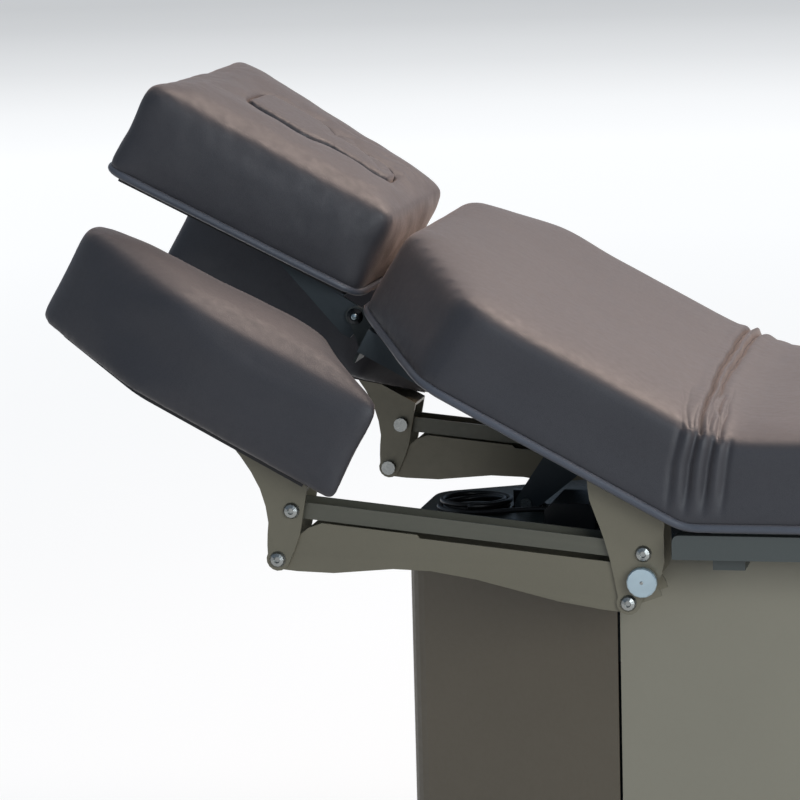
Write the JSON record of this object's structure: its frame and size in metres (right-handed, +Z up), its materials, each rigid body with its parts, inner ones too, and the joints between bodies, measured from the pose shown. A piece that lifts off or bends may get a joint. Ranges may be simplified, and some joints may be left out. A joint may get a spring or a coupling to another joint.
{
  "type": "massage table",
  "caption": "Upholstered treatment table: tilting back and headrest, armrests swinging down on parallel links, long seat, and a cabinet base that lifts.",
  "frame": {"origin": "on the floor, under the middle of the whole table", "axes": "+Z up, -X towards the head end, -Y towards the near side"},
  "size_m": [1.9732, 0.8054, 1.137],
  "materials": {
    "leather": "soft matte upholstery",
    "board": "matte",
    "olive_paint": "satin metallic",
    "grey_paint": "satin metallic",
    "cabinet_paint": "satin",
    "bright_steel": "bright",
    "black_plastic": "satin",
    "rubber": "matte"
  },
  "bodies": {
    "base": {"base_frame": "grey_paint", "lower_shell": "grey_paint", "lift_column_outer_1": "grey_paint", "lift_column_outer_2": "grey_paint", "levelling_foot_1": "rubber", "levelling_foot_2": "rubber", "levelling_foot_3": "rubber", "levelling_foot_4": "rubber"},
    "lift": {"seat_frame": "grey_paint", "lift_column_inner_1": "bright_steel", "lift_column_inner_2": "bright_steel", "cabinet_nose_head": "cabinet_paint", "cabinet_nose_foot": "cabinet_paint", "cabinet_side_near": "cabinet_paint", "cabinet_side_far": "cabinet_paint", "seat_cushion": "leather", "fold_cushion": "leather", "control_box": "black_plastic", "control_cable": "rubber", "cable_socket": "black_plastic", "back_hinge_pin_near": "bright_steel", "back_hinge_pin_far": "bright_steel", "actuator_pin_lower": "bright_steel"},
    "back": {"back_frame": "grey_paint", "back_cushion": "leather", "headrest_hinge_plate_near": "grey_paint", "headrest_hinge_plate_far": "grey_paint", "actuator_pin_upper": "bright_steel", "arm_base_bracket_near": "olive_paint", "arm_base_bracket_far": "olive_paint", "arm_bolt_base_upper_near": "bright_steel", "arm_bolt_base_upper_far": "bright_steel", "arm_bolt_base_lower_near": "bright_steel", "arm_bolt_base_lower_far": "bright_steel"},
    "headrest": {"headrest_frame": "grey_paint", "headrest_board": "board", "headrest_cushion": "leather", "headrest_rod": "bright_steel"},
    "face_insert": {"face_insert": "leather"},
    "actuator_housing": {"actuator_housing": "black_plastic"},
    "actuator_rod": {"actuator_rod": "bright_steel"},
    "lower_arm_near": {"lower_arm_bar_near": "olive_paint"},
    "upper_arm_near": {"upper_arm_bar_near": "olive_paint"},
    "armrest_near": {"arm_bracket_near": "olive_paint", "arm_board_near": "board", "arm_cushion_near": "leather", "arm_bolt_head_upper_near": "bright_steel", "arm_bolt_head_lower_near": "bright_steel"},
    "clamp_knob_near": {"arm_clamp_knob_near": "bright_steel"},
    "lower_arm_far": {"lower_arm_bar_far": "olive_paint"},
    "upper_arm_far": {"upper_arm_bar_far": "olive_paint"},
    "armrest_far": {"arm_bracket_far": "olive_paint", "arm_board_far": "board", "arm_cushion_far": "leather", "arm_bolt_head_upper_far": "bright_steel", "arm_bolt_head_lower_far": "bright_steel"},
    "clamp_knob_far": {"arm_clamp_knob_far": "bright_steel"}
  },
  "joints": [
    {"name": "table_lift", "type": "slide", "parent": "base", "child": "lift", "axis": [0, 0, 1], "range_m": [-0.08, 0.16]},
    {"name": "back_tilt", "type": "hinge", "parent": "lift", "child": "back", "pos_m": [-0.16214, 0, 0.556], "axis": [0, 1, 0], "range_deg": [-28.5, 36.5], "deforming": ["fold_cushion"]},
    {"name": "headrest_tilt", "type": "hinge", "parent": "back", "child": "headrest", "pos_m": [-0.61023, 0, 0.82888], "axis": [0, 1, 0], "range_deg": [-35, 5]},
    {"name": "face_insert_pull", "type": "slide", "parent": "headrest", "child": "face_insert", "axis": [0.4772, 0, 0.8788], "range_m": [0, 0.14]},
    {"name": "actuator_swing", "type": "hinge", "parent": "lift", "child": "actuator_housing", "pos_m": [-0.07583, 0, 0.31886], "axis": [0, 1, 0], "range_deg": [-14.5, 18.5]},
    {"name": "actuator_rod_swing", "type": "hinge", "parent": "back", "child": "actuator_rod", "pos_m": [-0.4145, 0, 0.55647], "axis": [0, 1, 0], "range_deg": [-18.5, 14.5]},
    {"name": "arm_swing_near", "type": "hinge", "parent": "back", "child": "lower_arm_near", "pos_m": [-0.22384, -0.325, 0.49933], "axis": [0, 1, 0], "range_deg": [-23, 23]},
    {"name": "upper_arm_swing_near", "type": "hinge", "parent": "back", "child": "upper_arm_near", "pos_m": [-0.20421, -0.325, 0.56234], "axis": [0, 1, 0], "range_deg": [-23, 23]},
    {"name": "armrest_level_near", "type": "hinge", "parent": "lower_arm_near", "child": "armrest_near", "pos_m": [-0.67137, -0.325, 0.54637], "axis": [0, 1, 0], "range_deg": [-23, 23]},
    {"name": "clamp_knob_turn_near", "type": "hinge", "parent": "back", "child": "clamp_knob_near", "pos_m": [-0.20514, -0.325, 0.52814], "axis": [0, -1, 0], "range_deg": [0, 360]},
    {"name": "arm_swing_far", "type": "hinge", "parent": "back", "child": "lower_arm_far", "pos_m": [-0.22384, 0.325, 0.49933], "axis": [0, 1, 0], "range_deg": [-23, 23]},
    {"name": "upper_arm_swing_far", "type": "hinge", "parent": "back", "child": "upper_arm_far", "pos_m": [-0.20421, 0.325, 0.56234], "axis": [0, 1, 0], "range_deg": [-23, 23]},
    {"name": "armrest_level_far", "type": "hinge", "parent": "lower_arm_far", "child": "armrest_far", "pos_m": [-0.67137, 0.325, 0.54637], "axis": [0, 1, 0], "range_deg": [-23, 23]},
    {"name": "clamp_knob_turn_far", "type": "hinge", "parent": "back", "child": "clamp_knob_far", "pos_m": [-0.20514, 0.325, 0.52814], "axis": [0, 1, 0], "range_deg": [0, 360]}
  ],
  "couplings": [
    {"joint": "actuator_swing", "follows": "back_tilt", "ratio": 0.5},
    {"joint": "actuator_rod_swing", "follows": "back_tilt", "ratio": -0.5},
    {"joint": "upper_arm_swing_near", "follows": "arm_swing_near", "ratio": 1},
    {"joint": "armrest_level_near", "follows": "arm_swing_near", "ratio": -1},
    {"joint": "upper_arm_swing_far", "follows": "arm_swing_far", "ratio": 1},
    {"joint": "armrest_level_far", "follows": "arm_swing_far", "ratio": -1}
  ]
}
